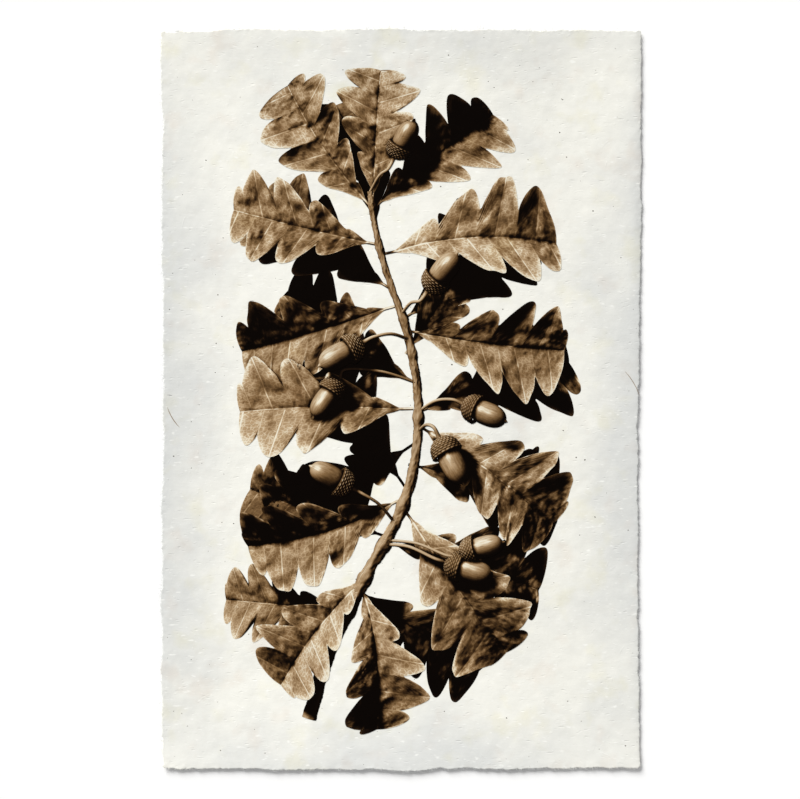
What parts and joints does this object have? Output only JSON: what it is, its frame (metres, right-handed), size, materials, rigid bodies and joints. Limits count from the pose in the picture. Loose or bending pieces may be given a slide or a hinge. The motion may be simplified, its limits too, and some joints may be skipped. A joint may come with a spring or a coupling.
{
  "type": "deckle-edged handmade paper art print",
  "caption": "Large upright sheet of handmade paper with ragged deckle edges, printed in sepia with an oak sprig, lying flat on its back with its edges lifting slightly.",
  "frame": {"origin": "under the centre of the sheet, on the surface that the sheet lies on", "axes": "+Z out of the printed face, +Y towards the head of the picture, +X to the picture's right"},
  "size_m": [0.659, 1.016, 0.0055],
  "materials": {
    "handmade_paper": "matte"
  },
  "bodies": {
    "root": {"paper_sheet": "handmade_paper"}
  },
  "joints": []
}
